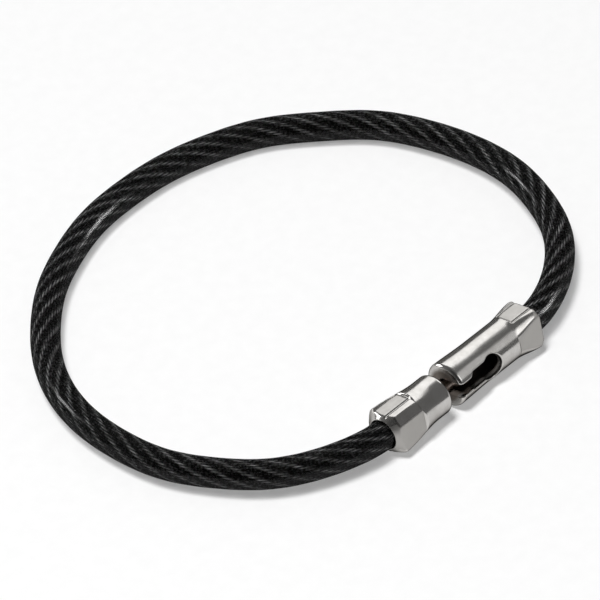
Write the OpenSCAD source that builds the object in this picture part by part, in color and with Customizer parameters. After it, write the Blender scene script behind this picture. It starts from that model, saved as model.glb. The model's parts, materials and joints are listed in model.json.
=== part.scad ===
// Closed cable loop for the wrist: a coated wire rope whose two ends are
// crimped into the halves of a ball and keyhole clasp.
// Millimetres. X runs along the clasp from the plug half to the socket half,
// Y points into the loop, and Z is up from the surface that the loop lies on.

/* [Cable] */
// Diameter over the plastic jacket
cable_d = 4; // [3:0.1:5]
// Wall of the plastic jacket
jacket_wall = 0.45; // [0.3:0.05:0.6]
// Diameter of the strand in the middle of the rope
core_d = 1; // [0.6:0.1:1.2]
// Gap between one layer of the cable and the next
layer_gap = 0.05; // [0.02:0.01:0.1]

/* [Socket half] */
// Length of the socket sleeve
sleeve_len = 16.2; // [13:0.1:20]
// Wall of the sleeve round its cavity
sleeve_wall = 0.95; // [0.7:0.05:1.4]
// Thickness of the end wall that holds the ball
end_wall = 1; // [0.8:0.1:1.4]
// Distance from the mouth to the middle of the entry hole
entry_x = 6.3; // [5.9:0.1:8]
// Width of the channel between the entry hole and the ball's seat
channel_w = 2.2; // [1.9:0.1:2.4]
// Length of the narrow slot at the mouth that grips the neck
narrow_len = 2.6; // [1.6:0.1:3]
// Room between the entry hole and the end of the cable
sleeve_stop_room = 2.2; // [1:0.1:3]
// Length of the crimp's flats on the sleeve, from its cable mouth
sleeve_crimp_len = 4.4; // [3:0.1:6]
// Length of the flare on the sleeve, from its cable mouth
sleeve_flare_len = 4.8; // [3:0.1:8]

/* [Plug half] */
// Length of the plug ferrule
plug_len = 10.5; // [9.1:0.1:13]
// Wall of the ferrule round the cable
plug_wall = 0.85; // [0.7:0.05:1.4]
// Thickness of the ferrule's wall that the stud is riveted through
plug_end_wall = 1.6; // [1:0.1:2]
// Room between the rivet head and the end of the cable
plug_stop_room = 0.5; // [0.2:0.1:1]
// Length of the bevelled nose at the ferrule's cable mouth
plug_nose_len = 1; // [0.3:0.1:1.5]
// Wall at the tip of the nose
plug_nose_wall = 0.2; // [0.1:0.05:1]
// Length of the crimp's flats on the ferrule, from its cable mouth
plug_crimp_len = 5.1; // [3:0.1:7]
// Length of the flare on the ferrule, from its cable mouth
plug_flare_len = 8.5; // [3:0.1:8.5]

/* [Ball stud] */
// Diameter of the ball
ball_d = 3.2; // [2.6:0.1:3.9]
// Diameter of the neck behind the ball
neck_d = 1.6; // [1.3:0.05:1.7]
// Diameter of the shank in the ferrule's wall
shank_d = 1.2; // [1:0.05:1.3]
// Diameter of the rivet head inside the ferrule
rivet_d = 2.4; // [1.8:0.1:3]
// Thickness of the rivet head
rivet_h = 0.8; // [0.5:0.1:1]

/* [Crimps] */
// Wall left under the crimp's flats
crimp_flat_wall = 0.75; // [0.6:0.05:0.8]
// Wall left under the crimp's corners
crimp_corner_wall = 1.45; // [1.3:0.05:1.6]
// Turn of the flats and the slot, up from the outside of the loop
clasp_roll = 14; // [5:1:25]

/* [Clearances] */
// Gap round the cable in its bores
bore_clear = 0.05; // [0.03:0.01:0.1]
// Gap round the ball in the cavity
ball_clear = 0.45; // [0.2:0.05:0.6]
// Gap round the ball in the entry hole
entry_clear = 0.1; // [0.05:0.01:0.2]
// Gap on each side of the neck in the slot
slot_clear = 0.08; // [0.05:0.01:0.2]
// Gap round the shank, and its play along the axis
shank_clear = 0.05; // [0.02:0.01:0.1]
// Gap between the ball and the edges of the slot that it rests on
seat_clear = 0.08; // [0.03:0.01:0.2]
// Gap that the plug's rim keeps from the sleeve's rim as it swings
swing_clear = 0.3; // [0.1:0.05:0.5]

/* [Hidden] */

$fn = 64;
overcut = 0.5;
rim_round = 0.5;
rim_steps = 6;
mouth_chamfer = 0.3;
neck_run_in = 0.2;

cable_r = cable_d / 2;
bore_r = cable_r + bore_clear;
cavity_r = max(bore_r, ball_d / 2 + ball_clear);
sleeve_r = cavity_r + sleeve_wall;
plug_r = bore_r + plug_wall;
crimp_flat_r = bore_r + crimp_flat_wall;
crimp_corner_r = bore_r + crimp_corner_wall;
entry_r = ball_d / 2 + entry_clear;
slot_w = neck_d + 2 * slot_clear;

// The ball rests on the inner edges of the slot in the end wall
ball_depth = end_wall + sqrt(pow(ball_d / 2, 2) - pow(slot_w / 2, 2)) + seat_clear;
// The gap between the halves lets the plug's rim swing past the sleeve's rim
clasp_gap = sqrt(pow(ball_depth, 2) + pow(sleeve_r, 2)) + swing_clear - ball_depth;
clasp_len = plug_len + clasp_gap + sleeve_len;

plug_mouth_x = -clasp_len / 2;
plug_face_x = plug_mouth_x + plug_len;
sleeve_face_x = plug_face_x + clasp_gap;
sleeve_mouth_x = clasp_len / 2;
ball_x = sleeve_face_x + ball_depth;

// How far the cable reaches into each half
sleeve_grip = sleeve_len - entry_x - entry_r - sleeve_stop_room;
plug_grip = plug_len - plug_end_wall - shank_clear - rivet_h - plug_stop_room;

// The clasp lies on the edges of its lower flats, and the cable on its far side
flat_half_angle = acos(crimp_flat_r / crimp_corner_r);
axis_z = crimp_corner_r * cos(flat_half_angle - clasp_roll);

// Free run of the cable, from the sleeve round to the ferrule, seen from above
free_run = [
    [19.5, 1], [25.5, 4], [30.5, 8.5], [34, 14.5], [36, 21], [36, 28],
    [34.5, 34.5], [31.5, 41], [26.5, 46.5], [20.5, 51.5], [14, 54.5], [6.5, 56.5],
    [-0.5, 57],
    [-7.5, 56.5], [-14.5, 54.5], [-21, 51.5], [-26.5, 47.5], [-31.5, 42.5], [-35, 37],
    [-37, 31], [-37.5, 24], [-36.5, 17.5], [-33.5, 11.5], [-29, 6], [-23.5, 2.5],
    [-19, 0.8]];
run = concat(
    [[sleeve_mouth_x - sleeve_grip, 0], [sleeve_mouth_x, 0]],
    free_run,
    [[plug_mouth_x, 0], [plug_mouth_x + plug_grip, 0]]);
loop_depth = max([for (p = run) p.y]);
loop_slope = (axis_z - cable_r) / loop_depth;
route = [for (p = run) [p.x, p.y, axis_z - loop_slope * p.y]];

jacket_sides = 12;
rope_sides = 8;
jacket_bore_r = cable_r - jacket_wall;
// A ring's flats lie inside its corners, so the next layer stays inside the flats
rope_r = jacket_bore_r * cos(180 / jacket_sides) - layer_gap;
rope_bore_r = core_d / 2 + layer_gap;
core_r = rope_bore_r * cos(180 / rope_sides) - layer_gap;

// Sweep: a ring of points at each point of the route, square to the bend there
last_ring = len(route) - 1;
loop_up = [0, loop_slope, 1] / norm([0, loop_slope, 1]);
function unit(v) = v / norm(v);
function heading(i) =
    unit(unit(route[min(i + 1, last_ring)] - route[min(i, last_ring - 1)])
       + unit(route[max(i, 1)] - route[max(i - 1, 0)]));
function side_way(i) = cross(loop_up, heading(i));
function ring(i, r, sides) = [
    for (k = [0 : sides - 1])
        route[i] + r * (cos(360 * k / sides) * side_way(i) + sin(360 * k / sides) * loop_up)];
function rings(r, sides) = [for (i = [0 : last_ring]) each ring(i, r, sides)];
// Two triangles for a patch with four corners, turned over where the patch faces back
function patch(a, b, c, d, turned) =
    turned ? [[a, c, b], [a, d, c]] : [[a, b, c], [a, c, d]];
function wall_faces(sides, first, turned) = [
    for (i = [0 : last_ring - 1], k = [0 : sides - 1])
        let (j = (k + 1) % sides, low = first + i * sides, high = low + sides)
            each patch(low + k, low + j, high + j, high + k, turned)];
function disc_faces(sides, first, turned) = [
    for (k = [1 : sides - 2])
        turned ? [first, first + k + 1, first + k] : [first, first + k, first + k + 1]];
function rim_faces(sides, outer, inner, turned) = [
    for (k = [0 : sides - 1])
        let (j = (k + 1) % sides)
            each patch(outer + k, outer + j, inner + j, inner + k, turned)];

module swept_rod(r, sides) {
    end = last_ring * sides;
    polyhedron(
        points = rings(r, sides),
        faces = concat(
            wall_faces(sides, 0, true),
            disc_faces(sides, 0, false),
            disc_faces(sides, end, true)));
}

module swept_tube(outer_r, inner_r, sides) {
    end = last_ring * sides;
    inner = (last_ring + 1) * sides;
    polyhedron(
        points = concat(rings(outer_r, sides), rings(inner_r, sides)),
        faces = concat(
            wall_faces(sides, 0, true),
            wall_faces(sides, inner, false),
            rim_faces(sides, 0, inner, false),
            rim_faces(sides, end, inner + end, true)));
}

// The clasp's own frame: axis along X, slot towards -Y before the roll
module on_clasp_axis(x) {
    translate([x, 0, axis_z])
        rotate([-clasp_roll, 0, 0])
            children();
}

module rod_x(r, x_from, x_to) {
    translate([x_from, 0, 0])
        rotate([0, 90, 0])
            cylinder(r = r, h = x_to - x_from);
}

// A turned half from its cable mouth at 0: the nose, the crimp's flats, the corners
// that they press out, which flare towards the mouth, and the barrel's rounded rim
module turned_half(len, barrel_r, nose_r, nose_len, crimp_len, flare_len) {
    rim = [for (i = [0 : rim_steps])
        let (a = 90 * i / rim_steps)
            [barrel_r - rim_round * (1 - cos(a)), len - rim_round * (1 - sin(a))]];
    outline = concat(
        [[0, 0],
         [nose_r, 0],
         [crimp_corner_r, nose_len],
         [barrel_r, flare_len]],
        rim,
        [[0, len]]);
    difference() {
        rotate([0, 90, 0])
            rotate_extrude()
                polygon(outline);
        for (side = [0 : 3])
            rotate([90 * side, 0, 0])
                translate([-overcut, -crimp_corner_r, crimp_flat_r])
                    cube([crimp_len + overcut, 2 * crimp_corner_r, crimp_corner_r]);
    }
}

module outward_slot(x_from, x_to, width) {
    translate([x_from, -sleeve_r - overcut, -width / 2])
        cube([x_to - x_from, sleeve_r + overcut, width]);
}

module socket_sleeve() {
    color([0.76, 0.75, 0.71])
    on_clasp_axis(0)
    difference() {
        translate([sleeve_mouth_x, 0, 0])
            mirror([1, 0, 0])
                turned_half(sleeve_len, sleeve_r, crimp_corner_r - mouth_chamfer,
                    mouth_chamfer, sleeve_crimp_len, sleeve_flare_len);
        // Cavity for the ball, and the bore for the cable behind it
        rod_x(cavity_r, sleeve_face_x + end_wall, sleeve_mouth_x - sleeve_grip);
        rod_x(bore_r, sleeve_mouth_x - sleeve_grip - overcut, sleeve_mouth_x + overcut);
        // Way through the end wall for the neck, and the slot that it swings into
        rod_x(slot_w / 2, sleeve_face_x - overcut, sleeve_face_x + end_wall + overcut);
        outward_slot(sleeve_face_x - overcut, sleeve_face_x + narrow_len, slot_w);
        outward_slot(sleeve_face_x + narrow_len, sleeve_face_x + entry_x, channel_w);
        // Entry hole for the ball
        translate([sleeve_face_x + entry_x, 0, 0])
            rotate([90, 0, 0])
                cylinder(r = entry_r, h = sleeve_r + overcut);
    }
}

module plug_ferrule() {
    color([0.76, 0.75, 0.71])
    on_clasp_axis(0)
    difference() {
        translate([plug_mouth_x, 0, 0])
            turned_half(plug_len, plug_r, bore_r + plug_nose_wall, plug_nose_len,
                plug_crimp_len, plug_flare_len);
        rod_x(bore_r, plug_mouth_x - overcut, plug_face_x - plug_end_wall);
        rod_x(shank_d / 2 + shank_clear, plug_mouth_x, plug_face_x + overcut);
    }
}

module ball_stud() {
    shoulder_x = plug_face_x + shank_clear;
    head_x = plug_face_x - plug_end_wall - shank_clear;
    color([0.48, 0.42, 0.38])
    on_clasp_axis(0)
    union() {
        translate([ball_x, 0, 0])
            rotate([0, 90, 0])
                sphere(d = ball_d);
        rod_x(neck_d / 2, shoulder_x, ball_x);
        rod_x(shank_d / 2, head_x - neck_run_in, shoulder_x + neck_run_in);
        rod_x(rivet_d / 2, head_x - rivet_h, head_x);
    }
}

module cable_jacket() {
    color([0.1, 0.1, 0.1])
        swept_tube(cable_r, jacket_bore_r, jacket_sides);
}

module outer_strands() {
    color([0.3, 0.3, 0.3])
        swept_tube(rope_r, rope_bore_r, rope_sides);
}

module core_strand() {
    color([0.3, 0.3, 0.3])
        swept_rod(core_r, rope_sides);
}

socket_sleeve();
plug_ferrule();
ball_stud();
cable_jacket();
outer_strands();
core_strand();
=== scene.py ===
import json
import math

import bpy
import numpy as np
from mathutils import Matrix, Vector


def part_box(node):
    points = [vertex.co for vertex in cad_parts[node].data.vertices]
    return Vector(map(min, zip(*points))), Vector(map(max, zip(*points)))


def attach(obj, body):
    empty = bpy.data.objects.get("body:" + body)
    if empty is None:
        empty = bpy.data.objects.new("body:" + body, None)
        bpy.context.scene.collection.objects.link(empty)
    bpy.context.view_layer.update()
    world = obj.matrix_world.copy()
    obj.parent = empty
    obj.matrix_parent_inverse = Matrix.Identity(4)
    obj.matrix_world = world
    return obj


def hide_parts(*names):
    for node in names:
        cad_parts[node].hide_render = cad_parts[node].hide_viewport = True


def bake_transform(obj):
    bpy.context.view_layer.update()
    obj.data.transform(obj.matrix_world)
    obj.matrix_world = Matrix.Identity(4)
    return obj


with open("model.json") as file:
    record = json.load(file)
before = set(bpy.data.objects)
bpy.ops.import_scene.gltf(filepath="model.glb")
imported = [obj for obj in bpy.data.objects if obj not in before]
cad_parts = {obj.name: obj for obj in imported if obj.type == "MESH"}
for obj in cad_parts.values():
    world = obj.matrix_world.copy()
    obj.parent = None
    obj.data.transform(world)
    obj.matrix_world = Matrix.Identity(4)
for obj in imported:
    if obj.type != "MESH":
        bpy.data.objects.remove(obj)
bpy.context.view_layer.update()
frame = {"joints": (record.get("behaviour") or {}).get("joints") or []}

# A closed cable loop for the wrist with a ball and keyhole clasp. Everything is in
# metres in the CAD model's frame: X along the clasp, Y into the loop, Z up.

MM = 0.001
SLEEVE_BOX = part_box("socket_sleeve")
PLUG_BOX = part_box("plug_ferrule")
STUD_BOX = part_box("ball_stud")
JOINTS = {joint["name"]: joint for joint in frame["joints"]}
BALL_CENTRE = Vector(JOINTS["plug_swing"]["pos_m"])
AXIS_Z = BALL_CENTRE.z


# ---- Camera

CAMERA_TARGET = Vector((0.65, 27.31, 0)) * MM
CAMERA_HEADING = math.radians(41.47)
CAMERA_ELEVATION = math.radians(42.25)
CAMERA_DISTANCE = 1.0485
CAMERA_LENS_MM = 480
SENSOR_MM = 36


def direction(heading, elevation):
    """Unit vector that points at that heading from +X, and up by the elevation."""
    flat = math.cos(elevation)
    return Vector((flat * math.cos(heading), flat * math.sin(heading), math.sin(elevation)))


def make_camera():
    data = bpy.data.cameras.new("camera")
    data.lens = CAMERA_LENS_MM
    data.sensor_width = SENSOR_MM
    camera = bpy.data.objects.new("camera", data)
    look = direction(CAMERA_HEADING, -CAMERA_ELEVATION)
    camera.location = CAMERA_TARGET - look * CAMERA_DISTANCE
    camera.rotation_euler = look.to_track_quat("-Z", "Y").to_euler()
    bpy.context.scene.collection.objects.link(camera)
    bpy.context.scene.camera = camera


# ---- Meshes from arrays

def make_object(name, points, faces, material, smooth=True):
    mesh = bpy.data.meshes.new(name)
    mesh.from_pydata(np.asarray(points).tolist(), [], faces)
    mesh.polygons.foreach_set("use_smooth", [smooth] * len(mesh.polygons))
    mesh.materials.append(material)
    made = bpy.data.objects.new(name, mesh)
    bpy.context.scene.collection.objects.link(made)
    return made


def add_attribute(made, name, values):
    attribute = made.data.attributes.new(name, "FLOAT", "POINT")
    attribute.data.foreach_set("value", np.asarray(values, dtype=np.float32))


def ease(value, start, end):
    t = np.clip((value - start) / (end - start), 0, 1)
    return t * t * (3 - 2 * t)


def unit(vectors):
    return vectors / np.linalg.norm(vectors, axis=-1, keepdims=True)


def tube_points(line, towards, radii, angles):
    """Rings of points round a line. radii and angles broadcast to one row a ring."""
    along = unit(np.gradient(line, axis=0))
    out = unit(towards - along * np.sum(towards * along, axis=1, keepdims=True))
    across = np.cross(along, out)
    rings = (line[:, None]
             + (radii * np.cos(angles))[..., None] * out[:, None]
             + (radii * np.sin(angles))[..., None] * across[:, None])
    return rings.reshape(-1, 3)


def wall_faces(rings, sides, first=0, inward=False):
    ring, side = np.meshgrid(np.arange(rings - 1), np.arange(sides), indexing="ij")
    a = first + ring * sides + side
    b = first + ring * sides + (side + 1) % sides
    quads = np.stack([a, b, b + sides, a + sides], axis=-1).reshape(-1, 4)
    return (quads[:, ::-1] if inward else quads).tolist()


def cap_faces(rings, sides, first=0):
    start = list(range(first, first + sides))
    end = [first + (rings - 1) * sides + k for k in range(sides)]
    return [start[::-1], end]


# ---- The cable's line

CABLE_D = 4 * MM
INTO_SLEEVE = 6.0 * MM
INTO_PLUG = 7.55 * MM
LOOP_DEPTH = 57 * MM
# The free run seen from above, from the sleeve round to the ferrule, as in the CAD
FREE_RUN = [
    (0.0195, 0.001), (0.0255, 0.004), (0.0305, 0.0085), (0.034, 0.0145), (0.036, 0.021),
    (0.036, 0.028), (0.0345, 0.0345), (0.0315, 0.041), (0.0265, 0.0465), (0.0205, 0.0515),
    (0.014, 0.0545), (0.0065, 0.0565), (-0.0005, 0.057), (-0.0075, 0.0565),
    (-0.0145, 0.0545), (-0.021, 0.0515), (-0.0265, 0.0475), (-0.0315, 0.0425),
    (-0.035, 0.037), (-0.037, 0.031), (-0.0375, 0.024), (-0.0365, 0.0175),
    (-0.0335, 0.0115), (-0.029, 0.006), (-0.0235, 0.0025), (-0.019, 0.0008)]
SLEEVE_MOUTH = SLEEVE_BOX[1].x
PLUG_MOUTH = PLUG_BOX[0].x
LOOP_SLOPE = (AXIS_Z - CABLE_D / 2) / LOOP_DEPTH
LOOP_UP = unit(np.array([0, LOOP_SLOPE, 1]))
RING_STEP = 0.3 * MM


def clamped_spline(points, end_way, steps):
    """Smooth curve through the points, with the same unit direction at both ends."""
    gaps = np.linalg.norm(np.diff(points, axis=0), axis=1)
    count = len(points)
    system = np.eye(count)
    slopes = np.tile(end_way, (count, 1))
    for i in range(1, count - 1):
        before, after = gaps[i - 1], gaps[i]
        system[i, i - 1:i + 2] = 1 / before, 2 / before + 2 / after, 1 / after
        slopes[i] = 3 * ((points[i] - points[i - 1]) / before ** 2
                         + (points[i + 1] - points[i]) / after ** 2)
    slopes = np.linalg.solve(system, slopes)
    t = np.linspace(0, 1, steps, endpoint=False)[:, None]
    pieces = [
        (2 * t ** 3 - 3 * t ** 2 + 1) * points[i] + (t ** 3 - 2 * t ** 2 + t) * gaps[i] * slopes[i]
        + (3 * t ** 2 - 2 * t ** 3) * points[i + 1] + (t ** 3 - t ** 2) * gaps[i] * slopes[i + 1]
        for i in range(count - 1)]
    return np.vstack(pieces + [points[-1:]])


def evenly(line, step):
    """The same line with its points an even step apart, and the run to each point."""
    run = np.concatenate([[0], np.cumsum(np.linalg.norm(np.diff(line, axis=0), axis=1))])
    stops = np.linspace(0, run[-1], int(round(run[-1] / step)) + 1)
    return np.stack([np.interp(stops, run, line[:, i]) for i in range(3)], axis=1), stops


def cable_line():
    flat = [(SLEEVE_MOUTH, 0.0), *FREE_RUN, (PLUG_MOUTH, 0.0)]
    points = np.array([(x, y, AXIS_Z - LOOP_SLOPE * y) for x, y in flat])
    free = clamped_spline(points, np.array([1.0, 0, 0]), steps=24)
    start = points[:1] - [[INTO_SLEEVE, 0, 0]]
    end = points[-1:] + [[INTO_PLUG, 0, 0]]
    return evenly(np.vstack([start, free, end]), RING_STEP)


LINE, RUN = cable_line()


# ---- Node materials

class Shader:
    """A material's node tree, written as calls. An input is a value or another node's output."""

    def __init__(self, name):
        self.material = bpy.data.materials.new(name)
        self.material.use_nodes = True
        self.tree = self.material.node_tree
        self.tree.nodes.clear()

    def node(self, kind, inputs=(), output=0, **settings):
        made = self.tree.nodes.new("ShaderNode" + kind)
        for key, value in settings.items():
            setattr(made, key, value)
        for key, value in dict(inputs).items():
            if isinstance(value, bpy.types.NodeSocket):
                self.tree.links.new(value, made.inputs[key])
            else:
                made.inputs[key].default_value = value
        return made.outputs[output]

    def place(self, stretch=(1, 1, 1)):
        here = self.node("TexCoord", output="Object")
        return self.node("Mapping", {"Vector": here, "Scale": stretch})

    def noise(self, size, detail=3.0, rough=0.5, stretch=(1, 1, 1)):
        """Noise whose lumps are about that many metres across."""
        return self.node("TexNoise", {"Vector": self.place(stretch), "Scale": 1 / size,
                                      "Detail": detail, "Roughness": rough})

    def spread(self, value, low, high, start=0.3, end=0.7):
        """value from start to end, turned into low to high."""
        return self.node("MapRange", {"Value": value, "From Min": start, "From Max": end,
                                      "To Min": low, "To Max": high})

    def blend(self, share, first, second):
        mix = self.node("Mix", output=2, data_type="RGBA")
        node = mix.node
        for key, value in (("Factor_Float", share), ("A_Color", first), ("B_Color", second)):
            socket = next(s for s in node.inputs if s.identifier == key)
            if isinstance(value, bpy.types.NodeSocket):
                self.tree.links.new(value, socket)
            else:
                socket.default_value = value
        return next(s for s in node.outputs if s.identifier == "Result_Color")

    def bump(self, height, depth, normal=None):
        inputs = {"Height": height, "Distance": depth, "Strength": 1.0}
        if normal is not None:
            inputs["Normal"] = normal
        return self.node("Bump", inputs)

    def attribute(self, name):
        return self.node("Attribute", output="Fac", attribute_name=name)

    def finish(self, shader):
        output = self.tree.nodes.new("ShaderNodeOutputMaterial")
        self.tree.links.new(shader, output.inputs["Surface"])
        return self.material


def grey(value, warm=0.0):
    return (value * (1 + warm), value, value * (1 - 1.4 * warm), 1)


def plating_material():
    """Satin nickel: tumbled grain, fine turning marks, and painted shade that makes it duller and
    darker in the recesses.
    """
    s = Shader("clasp_plating")
    grain = s.noise(0.12 * MM, detail=4)
    marks = s.noise(0.05 * MM, detail=2, stretch=(1, 0.04, 0.04))
    patches = s.noise(1.6 * MM, detail=4, rough=0.6)
    painted_recess_shade = s.attribute("painted_recess_shade")
    pressed = s.attribute("pressed")
    clean = s.blend(s.spread(patches, 0, 1), grey(0.55, 0.02), grey(0.47, 0.03))
    clean = s.blend(pressed, clean, grey(0.39, 0.03))
    # Painted shade: dark brown and less metallic in the recesses, where shade falls
    colour = s.blend(painted_recess_shade, clean, (0.15, 0.13, 0.115, 1))
    rough = s.spread(patches, 0.14, 0.21)
    rough = s.node("Math", {0: pressed, 1: 0.2, 2: rough}, operation="MULTIPLY_ADD")
    metal = s.node("Math", {0: painted_recess_shade, 1: -0.5, 2: 1.0}, operation="MULTIPLY_ADD")
    normal = s.bump(marks, 0.001 * MM, s.bump(grain, 0.001 * MM))
    return s.finish(s.node("BsdfPrincipled", {
        "Base Color": colour, "Metallic": metal, "Roughness": rough,
        "Specular Tint": grey(0.0), "Normal": normal}))


def stud_material():
    """Bare worn steel, browned, with turning marks round the neck."""
    s = Shader("stud_steel")
    marks = s.noise(0.06 * MM, detail=2, stretch=(1, 0.05, 0.05))
    stain = s.noise(0.8 * MM, detail=4, rough=0.6)
    colour = s.blend(s.spread(stain, 0, 1), (0.42, 0.36, 0.32, 1), (0.24, 0.19, 0.16, 1))
    normal = s.bump(marks, 0.003 * MM)
    return s.finish(s.node("BsdfPrincipled", {
        "Base Color": colour, "Metallic": 1.0, "Roughness": s.spread(stain, 0.25, 0.4),
        "Normal": normal}))


def wire_material():
    """Drawn steel wire, unevenly blackened, with a highlight painted on the wires' crests."""
    s = Shader("rope_wire")
    worn = s.noise(0.35 * MM, detail=2)
    patch = s.noise(1.2 * MM, detail=3)
    drawn = s.noise(0.05 * MM, detail=2)
    # Painted highlight: the wires turn pale where they reach furthest out
    painted_crest_highlight = s.node("Math", {0: s.attribute("crest"), 1: 3.0}, operation="POWER")
    painted_crest_highlight = s.node("Math", {0: painted_crest_highlight, 1: s.spread(patch, 0.1, 1)}, operation="MULTIPLY")
    black = s.blend(s.spread(worn, 0, 1, start=0.45, end=0.65), grey(0.004), grey(0.12))
    colour = s.blend(painted_crest_highlight, black, grey(0.9))
    return s.finish(s.node("BsdfPrincipled", {
        "Base Color": colour, "Metallic": 0.5, "Roughness": s.spread(patch, 0.3, 0.42),
        "Specular IOR Level": 0.15,
        "Normal": s.bump(drawn, 0.003 * MM)}))


JACKET_IOR = 1.48
JACKET_GLOSS_IOR = 1.25
JACKET_MOST_GLOSS = 0.015


def jacket_material():
    """Smoked clear plastic, through which the rope shows. Lamps reach the rope through it."""
    s = Shader("jacket_plastic")
    waves = s.noise(1.5 * MM, detail=2)
    scuffs = s.noise(0.4 * MM, detail=5, rough=0.7)
    tint = s.blend(s.spread(waves, 0, 1), grey(0.46), grey(0.38))
    normal = s.bump(waves, 0.004 * MM, s.bump(scuffs, 0.001 * MM))
    rough = s.spread(scuffs, 0.04, 0.1)
    bend = s.node("BsdfRefraction", {"Color": tint, "Roughness": rough, "IOR": JACKET_IOR,
                                     "Normal": normal})
    mirror = s.node("BsdfAnisotropic", {"Color": grey(0.9),
                                        "Roughness": s.spread(scuffs, 0.17, 0.24),
                                        "Normal": s.bump(waves, 0.004 * MM)})
    share = s.node("Fresnel", {"IOR": JACKET_GLOSS_IOR, "Normal": normal})
    share = s.node("Math", {0: share, 1: JACKET_MOST_GLOSS}, operation="MINIMUM")
    plastic = s.node("MixShader", {0: share, 1: bend, 2: mirror})
    open_way = s.node("BsdfTransparent", {"Color": grey(0.5)})
    shadow = s.node("LightPath", output="Is Shadow Ray")
    return s.finish(s.node("MixShader", {0: shadow, 1: plastic, 2: open_way}))


def bond_material():
    """The jacket's bore: clear on the wires it is pressed on, and painted black between the
    strands as painted shade.
    """
    s = Shader("jacket_bond")
    specks = s.noise(0.3 * MM, detail=3)
    clear = s.blend(s.spread(specks, 0, 1), grey(0.9), grey(1.0))
    clear = s.node("BsdfTransparent", {"Color": clear})
    # Painted shade: a black sheet between the strands, where the grooves lie in shade
    black = s.node("BsdfDiffuse", {"Color": grey(0.01)})
    return s.finish(s.node("MixShader", {0: s.attribute("painted_valley_shade"), 1: clear, 2: black}))


# ---- The rope and its jacket

ROPE_LAY = 21.5 * MM
STRANDS = 6
STRAND_R = 0.5 * MM
STRAND_RING_R = 1.0 * MM
WIRES = 9
WIRE_LAY = 7 * MM
WIRE_R = 0.125 * MM
WIRE_RING_R = 0.375 * MM
WIRE_SIDES = 6
CREST_R = STRAND_RING_R + STRAND_R
CREST_BAND = 0.12 * MM
JACKET_LOBE_SIDES = 12
JACKET_RIPPLE = 0.01 * MM
JACKET_BITE = 0.03 * MM
BORE_LEAST = 0.1 * MM
VALLEY_FROM = 0.1 * MM
VALLEY_TO = 0.25 * MM


def side_and_up(line):
    """The ways across the line at each of its points, level and up."""
    along = unit(np.gradient(line, axis=0))
    up = unit(LOOP_UP - along * (along @ LOOP_UP)[:, None])
    return np.cross(up, along), up


def strand_line(centre, out_way, across_way, radius, lay, start, hand):
    """A helix round a line, and the way out from that line to each of its points."""
    angle = (start + hand * 2 * math.pi * RUN / lay)[:, None]
    out = np.cos(angle) * out_way + np.sin(angle) * across_way
    return centre + radius * out, out


def wires_of(line, out):
    """One strand: its inner wires as one rod, and the outer wires laid round that."""
    along = unit(np.gradient(line, axis=0))
    out = unit(out - along * np.sum(out * along, axis=1, keepdims=True))
    across = np.cross(along, out)
    angles = np.arange(WIRE_SIDES) * 2 * math.pi / WIRE_SIDES
    yield tube_points(line, out, WIRE_RING_R - WIRE_R, angles)
    for k in range(WIRES):
        path, away = strand_line(line, out, across, WIRE_RING_R, WIRE_LAY,
                                 2 * math.pi * k / WIRES, hand=-1)
        yield tube_points(path, away, WIRE_R, angles)


def make_strand(name, line, out, material):
    """Its attribute crest marks where the wires reach furthest from the rope's middle, where the
    wire material paints a highlight.
    """
    points, faces = [], []
    for wire in wires_of(line, out):
        first = sum(len(p) for p in points)
        faces += wall_faces(len(line), WIRE_SIDES, first)
        faces += cap_faces(len(line), WIRE_SIDES, first)
        points.append(wire)
    points = np.vstack(points)
    middle = np.tile(np.repeat(LINE, WIRE_SIDES, axis=0), (WIRES + 1, 1))
    reach = np.linalg.norm(points - middle, axis=1)
    made = make_object(name, points, faces, material)
    add_attribute(made, "crest", np.clip(1 - (CREST_R - reach) / CREST_BAND, 0, 1))
    return made


def make_rope(material):
    side, up = side_and_up(LINE)
    strands = [make_strand("core_strand_wires", LINE, side, material)]
    for k in range(STRANDS):
        line, out = strand_line(LINE, side, up, STRAND_RING_R, ROPE_LAY,
                                2 * math.pi * k / STRANDS, hand=1)
        strands.append(make_strand(f"outer_strand_{k + 1}", line, out, material))
    return strands


def make_jacket(material):
    """The outside shows the strands as a faint ripple, and the bore is pressed into them."""
    sides = STRANDS * JACKET_LOBE_SIDES
    side, _ = side_and_up(LINE)
    from_strand = np.arange(sides) * 2 * math.pi / sides
    angles = from_strand[None] + (2 * math.pi * RUN / ROPE_LAY)[:, None]
    outer = CABLE_D / 2 - JACKET_RIPPLE * (1 - np.cos(STRANDS * from_strand)) / 2
    lobe = (from_strand + math.pi / STRANDS) % (2 * math.pi / STRANDS) - math.pi / STRANDS
    pressed = STRAND_R - JACKET_BITE
    reach = np.maximum(pressed ** 2 - (STRAND_RING_R * np.sin(lobe)) ** 2, BORE_LEAST ** 2)
    bore = STRAND_RING_R * np.cos(lobe) + np.sqrt(reach)
    points = np.vstack([tube_points(LINE, side, outer[None], angles),
                        tube_points(LINE, side, bore[None], angles)])
    rings = len(LINE)
    inner = rings * sides
    faces = wall_faces(rings, sides) + wall_faces(rings, sides, inner, inward=True)
    bore_faces = range(len(faces) // 2, len(faces))
    for k in range(sides):
        j = (k + 1) % sides
        faces.append([j, k, inner + k, inner + j])
        last = (rings - 1) * sides
        faces.append([last + k, last + j, inner + last + j, inner + last + k])
    made = make_object("cable_jacket_tube", points, faces, material)
    made.data.materials.append(bond_material())
    for face in bore_faces:
        made.data.polygons[face].material_index = 1
    # Painted shade: the share of black painted in the bore's lobes between the strands
    painted_valley_shade = np.tile(ease(CREST_R - bore, VALLEY_FROM, VALLEY_TO), rings)
    add_attribute(made, "painted_valley_shade", np.concatenate([np.zeros(inner), painted_valley_shade]))
    return made


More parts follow.
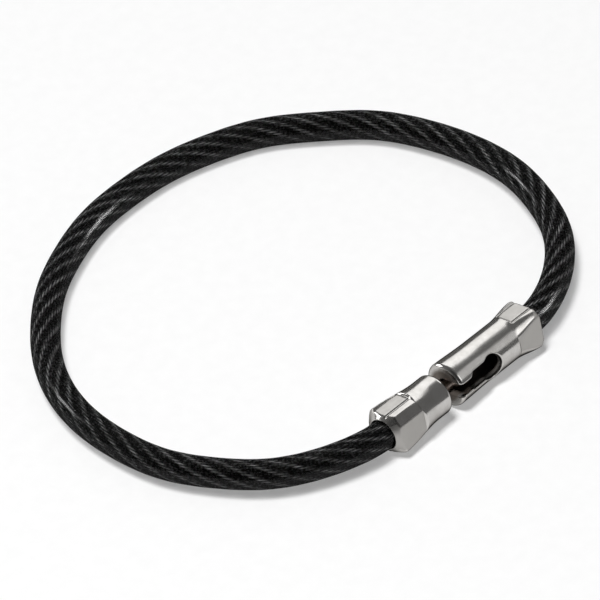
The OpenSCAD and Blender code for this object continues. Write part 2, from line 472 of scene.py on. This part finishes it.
def blend_along_cable(piece, ring_sides):
    """Lays the piece's rings out straight by their run along the cable, bakes its transform, then
    puts the rings back.
    """
    vertices = piece.data.vertices
    placed = np.empty(3 * len(vertices), dtype=np.float32)
    vertices.foreach_get("co", placed)
    straight = np.zeros((len(vertices), 3), dtype=np.float32)
    rings = np.repeat(RUN, ring_sides)
    straight[:, 0] = np.tile(rings, len(vertices) // len(rings))
    vertices.foreach_set("co", straight.ravel())
    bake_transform(piece)
    vertices.foreach_set("co", placed)
    piece.data.update()


def make_cable():
    strands = make_rope(wire_material())
    jacket = make_jacket(jacket_material())
    blend_along_cable(jacket, STRANDS * JACKET_LOBE_SIDES)
    for strand in strands:
        blend_along_cable(strand, WIRE_SIDES)
    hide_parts("cable_jacket")
    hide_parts("core_strand")
    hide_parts("outer_strands")
    return [jacket, *strands]


# ---- Surfaces of solids that are given as a field, negative inside

CELL_CORNERS = [(i, j, k) for i in (0, 1) for j in (0, 1) for k in (0, 1)]
CELL_EDGES = [(a, b) for a in CELL_CORNERS for b in CELL_CORNERS
              if sum(b) - sum(a) == 1 and sum(abs(p - q) for p, q in zip(a, b)) == 1]
PROJECTIONS = 3
LEAST_STEEPNESS = 0.2


def net_vertices(field, low, cell):
    """One vertex in each grid cell that the surface crosses, at the mean of its crossings."""
    inside = field < 0
    shape = np.array(field.shape) - 1
    corners = [tuple(slice(c, c + n) for c, n in zip(corner, shape)) for corner in CELL_CORNERS]
    filled = sum(inside[c].astype(np.int8) for c in corners)
    cells = np.argwhere((filled > 0) & (filled < 8))
    index = np.full(shape, -1)
    index[tuple(cells.T)] = np.arange(len(cells))
    total = np.zeros((len(cells), 3))
    count = np.zeros(len(cells))
    for a, b in CELL_EDGES:
        at_a = field[tuple((cells + a).T)]
        at_b = field[tuple((cells + b).T)]
        cross = (at_a < 0) != (at_b < 0)
        share = at_a[cross] / (at_a[cross] - at_b[cross])
        total[cross] += np.array(a) + share[:, None] * (np.array(b) - np.array(a))
        count[cross] += 1
    return low + cell * (cells + total / count[:, None]), index


def net_faces(field, index):
    """A quad round each grid edge that the surface crosses, with its normal pointing out."""
    inside = field < 0
    faces = []
    for axis in range(3):
        one, two = [a for a in range(3) if a != axis]
        here = [slice(None)] * 3
        there = [slice(None)] * 3
        here[axis], there[axis] = slice(0, -1), slice(1, None)
        crossing = inside[tuple(here)] != inside[tuple(there)]
        edges = np.argwhere(crossing)
        edges = edges[(edges[:, one] > 0) & (edges[:, two] > 0)]
        leaving = inside[tuple(edges.T)]
        step_one, step_two = np.eye(3, dtype=int)[one], np.eye(3, dtype=int)[two]
        ring = [edges - step_one - step_two, edges - step_two, edges, edges - step_one]
        quads = np.stack([index[tuple(cells.T)] for cells in ring], axis=1)
        # The ring runs the other way round about Y
        turned = leaving if axis != 1 else ~leaving
        faces.append(quads[turned])
        faces.append(quads[~turned][:, ::-1])
    return np.vstack(faces)


def gradient(solid, points, step):
    parts = []
    for axis in range(3):
        shift = np.eye(3)[axis] * step
        parts.append(solid(*(points + shift).T) - solid(*(points - shift).T))
    return np.stack(parts, axis=1) / (2 * step)


def net(solid, low, high, cell):
    """Vertices, quads and normals of the surface of solid(x, y, z) between two corners."""
    axes = [np.arange(a - 2 * cell, b + 2 * cell, cell) for a, b in zip(low, high)]
    field = solid(*np.meshgrid(*axes, indexing="ij"))
    points, index = net_vertices(field, np.array([a[0] for a in axes]), cell)
    for _ in range(PROJECTIONS):
        slope = gradient(solid, points, cell / 8)
        steep = np.maximum(np.sum(slope ** 2, axis=1), LEAST_STEEPNESS)
        move = -(solid(*points.T) / steep)[:, None] * slope
        length = np.linalg.norm(move, axis=1, keepdims=True)
        points = points + move * np.minimum(1, cell / 2 / np.maximum(length, 1e-12))
    return points, net_faces(field, index), unit(gradient(solid, points, cell / 4))


def both(a, b, radius=0.0):
    """Where both solids are, with the edge between them rounded."""
    if not radius:
        return np.maximum(a, b)
    return (np.minimum(np.maximum(a, b), -radius)
            + np.hypot(np.maximum(a + radius, 0), np.maximum(b + radius, 0)))


def either(a, b, radius=0.0):
    return -both(-a, -b, radius)


# ---- The clasp's halves, in millimetres in the clasp's own frame: X along its axis,
# ---- and -Y towards the slot, before the roll

CLASP_ROLL = math.atan2(JOINTS["plug_swing"]["axis"][1], JOINTS["plug_swing"]["axis"][2])
CELL = 0.09
BOX_MARGIN = 0.1
BORE_R = 2.05
MOUTH_LEN = 0.5
CORNER_R = 3.5
FLAT_R = 2.8
RUN_OUT_SLOPE = 1.2
RIM_ROUND = 0.55
NOSE_ROUND = 0.12
MOUTH_ROUND = 0.05
CREASE_HALF_W = 0.16
CREASE_DEPTH = 0.16
FACET_SLOPE = 1.3
FACET_SOFTNESS = 0.15
CORNER_ROUND = 0.2
CORNER_SWELL = 0.2
SLEEVE_FACE, SLEEVE_END = SLEEVE_BOX[0].x / MM, SLEEVE_BOX[1].x / MM
PLUG_END, PLUG_FACE = PLUG_BOX[0].x / MM, PLUG_BOX[1].x / MM
BALL_X = BALL_CENTRE.x / MM

SLEEVE_R = 3.0
SLEEVE_FLARE = 4.8
SLEEVE_FLAT_LEN = 4.4
SLEEVE_PAD_LEN = 3.7
SLEEVE_PAD_MIDDLE = 0.1
SLEEVE_PAD_HALF_W = 1.25
SLEEVE_PAD_TURN = 1.5
SLEEVE_PAD = SLEEVE_PAD_LEN, SLEEVE_PAD_MIDDLE, SLEEVE_PAD_HALF_W, SLEEVE_PAD_TURN
RIM_SWELL = 0.16
SLEEVE_NOSE = 0.3
END_WALL = 1.0
CAVITY_FLARE = 0.15
CAVITY_ROUND = 0.06
NECK_WAY_R = 0.88
NECK_WAY_FLARE = 0.2
NECK_WAY_ROUND = 0.1
NARROW_UP = 0.84
NARROW_DOWN = 0.88
CHANNEL_UP = 1.4
CHANNEL_DOWN = 1.1
NARROW_LEN = 2.6
WIDENS_BEFORE = 0.6
WIDENS_AFTER = 0.3
SLOT_FLARE = 0.08
SLOT_FLARE_LEN = 0.8
ENTRY_X = 6.3
ENTRY_R = 1.7
ENTRY_ROUND = 0.25
LIP_ROUND = 0.22

PLUG_R = 2.9
PLUG_FLARE = 8.5
PLUG_FLAT_LEN = 5.1
PLUG_PAD_LEN = 4.95
PLUG_PAD_MIDDLE = 0.5
PLUG_PAD_HALF_W = 1.0
PLUG_PAD_TURN = 1.2
PLUG_PAD = PLUG_PAD_LEN, PLUG_PAD_MIDDLE, PLUG_PAD_HALF_W, PLUG_PAD_TURN
PLUG_NOSE = 1.0
PLUG_TIP_R = 2.25
PLUG_END_WALL = 1.6
PLUG_BORE_FLARE = 0.08
PLUG_BORE_ROUND = 0.05
SHANK_HOLE_R = 0.65
SHANK_HOLE_ROUND = 0.08

STUD_PLAY = 0.05
BALL_R = 1.6
BALL_FLAT_X = 1.45
BALL_FLAT_ROUND = 0.15
NECK_R = 0.8
NECK_WAIST = 0.06
NECK_ROUND = 0.25
SHANK_R = 0.6
SHANK_LAP = 0.3
HEAD_R = 1.2
HEAD_LEN = 0.8
HEAD_ROUND = 0.2
STUD_ROUND = 0.05

# The looks' marks: how near to a die's plane counts as pressed, and how deep as recessed, which
# gets painted shade
PRESSED_WITHIN = 0.02
PRESSED_NOT_PAST = 0.08
PRESSED_EDGE = 0.1
PRESSED_NOSE_LEN = 1.0
PRESSED_NOSE_SLOPE = 1.2
PAD_PRESSED = 0.6
RECESS_DEPTH = 0.6
SLEEVE_RECESS_R = SLEEVE_R - 0.35
PLUG_RECESS_R = 2.15


def crimped(y, z, depth, length, barrel_r, nose, nose_r, flare, flat_len, pad):
    """A turned half with its crimp. depth is the distance in from its cable mouth."""
    pad_len, pad_middle, pad_half_w, pad_turn = pad
    r = np.hypot(y, z)
    squeezed = CORNER_SWELL * np.clip(-y / FLAT_R, 0, 1) * np.clip(-z / FLAT_R, 0, 1)
    corner_r = CORNER_R + squeezed
    skin_r = barrel_r + (corner_r - barrel_r) * (1 - ease(depth, nose, flare))
    body = both(r - skin_r, depth - length, RIM_ROUND)
    bevel = (r - nose_r) * nose - depth * (CORNER_R - nose_r)
    body = both(body, bevel / math.hypot(nose, CORNER_R - nose_r), NOSE_ROUND)
    body = both(body, -depth, MOUTH_ROUND)
    # Plain flats at the sides
    side_r = FLAT_R + RUN_OUT_SLOPE * np.maximum(depth - flat_len, 0)
    body = both(body, np.abs(y) - side_r, CORNER_ROUND)
    # Pads above and below, each with a crease round it and a round shoulder outside that
    aside = np.abs(y - pad_middle) - pad_half_w
    beyond = np.maximum(aside, depth - pad_len)
    crease = CREASE_DEPTH * np.exp(-((beyond - CREASE_HALF_W) / CREASE_HALF_W) ** 2)
    shoulder = np.maximum(aside - CREASE_HALF_W, 0)
    facet = FACET_SLOPE * (shoulder - pad_turn)
    facet = (facet + np.hypot(facet, FACET_SOFTNESS)) / 2
    shape = np.where(z > 0, np.where(y < pad_middle, -facet, shoulder), 0)
    pad_r = FLAT_R - crease + shape + RUN_OUT_SLOPE * np.maximum(depth - pad_len, 0)
    return both(body, np.abs(z) - pad_r, CORNER_ROUND)


def inside_r(depth, mouth_flare):
    return BORE_R + mouth_flare * (1 - ease(depth, 0, MOUTH_LEN))


def keyhole(x, y, z):
    """Slot at the mouth for the neck, the wider channel behind it and the ball's entry hole."""
    along = x - SLEEVE_FACE
    widen = ease(along, NARROW_LEN - WIDENS_BEFORE, NARROW_LEN + WIDENS_AFTER)
    mouth = SLOT_FLARE * (1 - ease(along, 0, SLOT_FLARE_LEN))
    up = NARROW_UP + (CHANNEL_UP - NARROW_UP) * widen + mouth
    down = NARROW_DOWN + (CHANNEL_DOWN - NARROW_DOWN) * widen + mouth
    slot = np.maximum(np.maximum(z - up, -z - down), along - ENTRY_X)
    hole = np.hypot(along - ENTRY_X, z) - ENTRY_R
    return either(slot, hole, ENTRY_ROUND)


def sleeve_solid(x, y, z):
    depth = SLEEVE_END - x
    barrel_r = SLEEVE_R + RIM_SWELL * (1 - ease(x - SLEEVE_FACE, 0, ENTRY_X))
    skin = crimped(y, z, depth, SLEEVE_END - SLEEVE_FACE, barrel_r, SLEEVE_NOSE,
                   CORNER_R - SLEEVE_NOSE, SLEEVE_FLARE, SLEEVE_FLAT_LEN, SLEEVE_PAD)
    r = np.hypot(y, z)
    cavity = np.maximum(r - inside_r(depth, CAVITY_FLARE), SLEEVE_FACE + END_WALL - x)
    neck_way = r - NECK_WAY_R - NECK_WAY_FLARE * (1 - ease(x - SLEEVE_FACE, 0, MOUTH_LEN))
    slot = np.maximum(keyhole(x, y, z), y)
    body = both(skin, -slot, LIP_ROUND)
    body = both(body, -neck_way, NECK_WAY_ROUND)
    return both(body, -cavity, CAVITY_ROUND)


def plug_solid(x, y, z):
    depth = x - PLUG_END
    skin = crimped(y, z, depth, PLUG_FACE - PLUG_END, PLUG_R, PLUG_NOSE, PLUG_TIP_R,
                   PLUG_FLARE, PLUG_FLAT_LEN, PLUG_PAD)
    r = np.hypot(y, z)
    bore = np.maximum(r - inside_r(depth, PLUG_BORE_FLARE), x - (PLUG_FACE - PLUG_END_WALL))
    body = both(skin, -bore, PLUG_BORE_ROUND)
    return both(body, SHANK_HOLE_R - r, SHANK_HOLE_ROUND)


def stud_solid(x, y, z):
    """Ball, waisted neck, shank and rivet head."""
    r = np.hypot(y, z)
    face = PLUG_FACE + STUD_PLAY
    back = PLUG_FACE - PLUG_END_WALL - STUD_PLAY
    ball = np.hypot(x - BALL_X, r) - BALL_R
    ball = both(ball, x - BALL_X - BALL_FLAT_X, BALL_FLAT_ROUND)
    neck_r = NECK_R - NECK_WAIST * np.sin(np.pi * np.clip((x - face) / (BALL_X - face), 0, 1))
    neck = np.maximum(r - neck_r, np.maximum(face - x, x - BALL_X))
    shank = np.maximum(r - SHANK_R, np.maximum(back - SHANK_LAP - x, x - face - SHANK_LAP))
    head = both(r - HEAD_R, np.maximum(back - HEAD_LEN - x, x - back), HEAD_ROUND)
    front = either(ball, neck, NECK_ROUND)
    return either(front, either(shank, head, STUD_ROUND), STUD_ROUND)


def in_row_frame(points):
    """From the clasp's own frame in millimetres to the row frame in metres."""
    x, y, z = points.T
    c, s = math.cos(CLASP_ROLL), math.sin(CLASP_ROLL)
    return np.stack([x, c * y + s * z, AXIS_Z / MM - s * y + c * z], axis=1) * MM


def near_die(gap):
    """1 where the gap to a die's plane is next to nothing, 0 where it is plain to see."""
    return 1 - ease(gap, PRESSED_WITHIN, PRESSED_NOT_PAST)


def pressed_share(points, depth, flat_len, pad):
    """1 on the faces that the crimp's dies pressed, 0 elsewhere."""
    pad_len, pad_middle, pad_half_w, _ = pad
    y, z = points[:, 1], points[:, 2]
    nose = PRESSED_NOSE_SLOPE * np.maximum(PRESSED_NOSE_LEN - depth, 0)
    side = near_die(FLAT_R - nose - np.abs(y))
    side = side * (1 - ease(depth, flat_len, flat_len + PRESSED_EDGE))
    on_pad = np.maximum(np.abs(y - pad_middle) - pad_half_w, depth - pad_len)
    top = near_die(FLAT_R - np.abs(z)) * (1 - ease(on_pad, -PRESSED_EDGE, 0))
    return np.maximum(side, PAD_PRESSED * top)


def sleeve_pressed(points):
    return pressed_share(points, SLEEVE_END - points[:, 0], SLEEVE_FLAT_LEN, SLEEVE_PAD)


def plug_pressed(points):
    return pressed_share(points, points[:, 0] - PLUG_END, PLUG_FLAT_LEN, PLUG_PAD)


def make_solid(name, solid, box, material, recess_r=None, pressed=None):
    """The mesh of a solid. Plating is marked where it is pressed, and marked for painted shade
    where it is recessed in recess_r.
    """
    low = (box[0].x / MM - BOX_MARGIN, -CORNER_R, -CORNER_R)
    high = (box[1].x / MM + BOX_MARGIN, CORNER_R, CORNER_R)
    points, faces, normals = net(solid, low, high, CELL)
    made = make_object(name, in_row_frame(points), faces.tolist(), material)
    if recess_r is not None:
        # Painted shade in the recesses, fuller with the depth inside recess_r
        depth = recess_r - np.hypot(points[:, 1], points[:, 2])
        add_attribute(made, "painted_recess_shade", np.clip(depth / RECESS_DEPTH, 0, 1))
        add_attribute(made, "pressed", pressed(points))
    turned = in_row_frame(normals) - in_row_frame(np.zeros((1, 3)))
    made.data.normals_split_custom_set_from_vertices(unit(turned).tolist())
    return made


def make_clasp():
    plating = plating_material()
    sleeve = make_solid("socket_sleeve_shell", sleeve_solid, SLEEVE_BOX, plating,
                        SLEEVE_RECESS_R, sleeve_pressed)
    plug = make_solid("plug_ferrule_shell", plug_solid, PLUG_BOX, plating,
                      PLUG_RECESS_R, plug_pressed)
    stud = make_solid("ball_stud_pin", stud_solid, STUD_BOX, stud_material())
    rows = [(sleeve, "loop", "socket_sleeve", "clasp_plating"),
            (plug, "plug", "plug_ferrule", "clasp_plating"),
            (stud, "stud", "ball_stud", "stud_steel")]
    for piece, body, node, slot in rows:
        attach(piece, body)
        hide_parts(node)
    return [sleeve, plug, stud]


# ---- Floor, world and lamps

FLOOR_SIZE = 30
FLOOR_GLOW = 0.28
LAMP_DISTANCE = 1.5
# The walls' brightness in front of the camera and behind it, and the cosines between them
WALL_GLOW = 0.17
WALL_GLOW_BEHIND = 0.05
WALL_FADE_FROM = 0.5
WALL_FADE_TO = 0.9
# A lamp's azimuth starts at the picture's right, which is turned from X by this angle
GROUND_TURN = math.radians(48.53)


def make_floor():
    s = Shader("floor_paper")
    fibre = s.noise(2 * MM, detail=3)
    colour = s.blend(s.spread(fibre, 0, 1), grey(0.65), grey(0.67))
    paper = s.node("BsdfDiffuse", {"Color": colour})
    glow = s.node("Emission", {"Color": grey(1), "Strength": FLOOR_GLOW})
    seen = s.node("LightPath", output="Is Camera Ray")
    for way in ("Is Glossy Ray", "Is Transmission Ray"):
        seen = s.node("Math", {0: seen, 1: s.node("LightPath", output=way)},
                      operation="MAXIMUM")
    nothing = s.node("Emission", {"Strength": 0.0})
    glow = s.node("MixShader", {0: seen, 1: nothing, 2: glow})
    paper = s.finish(s.node("AddShader", {0: paper, 1: glow}))
    half = FLOOR_SIZE / 2
    corners = [(-half, -half, 0), (half, -half, 0), (half, half, 0), (-half, half, 0)]
    floor = make_object("floor", corners, [[0, 1, 2, 3]], paper, smooth=False)


def make_world():
    """Dim studio walls, darkest behind the camera."""
    world = bpy.data.worlds.new("studio")
    bpy.context.scene.world = world
    world.use_nodes = True
    tree = world.node_tree
    background = tree.nodes["Background"]
    where = tree.nodes.new("ShaderNodeTexCoord")
    facing = tree.nodes.new("ShaderNodeVectorMath")
    facing.operation = "DOT_PRODUCT"
    facing.inputs[1].default_value = -direction(CAMERA_HEADING, -CAMERA_ELEVATION)
    ramp = tree.nodes.new("ShaderNodeMapRange")
    tree.links.new(where.outputs["Generated"], facing.inputs[0])
    tree.links.new(facing.outputs["Value"], ramp.inputs["Value"])
    ramp.interpolation_type = "SMOOTHSTEP"
    ramp.inputs["From Min"].default_value = WALL_FADE_FROM
    ramp.inputs["From Max"].default_value = WALL_FADE_TO
    ramp.inputs["To Min"].default_value = WALL_GLOW
    ramp.inputs["To Max"].default_value = WALL_GLOW_BEHIND
    tree.links.new(ramp.outputs[0], background.inputs["Strength"])
    background.inputs["Color"].default_value = (1, 1, 1, 1)


def make_lamp(name, azimuth, elevation, width, height, radiance, diffuse, glossy, only=()):
    """A soft box that faces the object, placed and sized by the angles at which it is seen.

    only names the pieces that it lights, where it doesn't light all of them.
    """
    data = bpy.data.lights.new(name, "AREA")
    data.shape = "RECTANGLE"
    data.size = 2 * LAMP_DISTANCE * math.tan(math.radians(width) / 2)
    data.size_y = 2 * LAMP_DISTANCE * math.tan(math.radians(height) / 2)
    data.energy = radiance * math.pi * data.size * data.size_y
    lamp = bpy.data.objects.new(name, data)
    way = direction(math.radians(azimuth) - GROUND_TURN, math.radians(elevation))
    lamp.location = CAMERA_TARGET + way * LAMP_DISTANCE
    lamp.rotation_euler = way.to_track_quat("Z", "Y").to_euler()
    lamp.visible_camera = False
    lamp.visible_diffuse = diffuse
    lamp.visible_glossy = glossy
    bpy.context.scene.collection.objects.link(lamp)
    if only:
        lit = bpy.data.collections.new(name + "_lights")
        for piece in only:
            lit.objects.link(piece)
        lamp.light_linking.receiver_collection = lit


def make_lamps(cable, clasp):
    sleeve = clasp[:1]
    make_lamp("main", 226, 73, 15, 15, 45.3, diffuse=True, glossy=False)
    make_lamp("key", 82, 33.5, 56, 37, 1.6, diffuse=False, glossy=True, only=clasp)
    make_lamp("right_wall", 0, 36, 44, 28, 0.55, diffuse=False, glossy=True, only=sleeve)
    make_lamp("right_window", -20, 43, 24, 30, 1.3, diffuse=False, glossy=True, only=sleeve)
    make_lamp("rim_spot", 160, 14, 34, 22, 5, diffuse=False, glossy=True, only=clasp)
    make_lamp("beads", 135, 45, 30, 30, 17, diffuse=False, glossy=True, only=cable[1:])
    make_lamp("left_strip", 164, 27, 13, 8, 30, diffuse=False, glossy=True, only=cable[:1])
    make_lamp("right_strip", 13.5, 21, 15, 20, 26, diffuse=False, glossy=True, only=cable[:1])


make_camera()
cable = make_cable()
clasp = make_clasp()
make_floor()
make_world()
make_lamps(cable, clasp)
bpy.context.scene.view_settings.view_transform = "Standard"
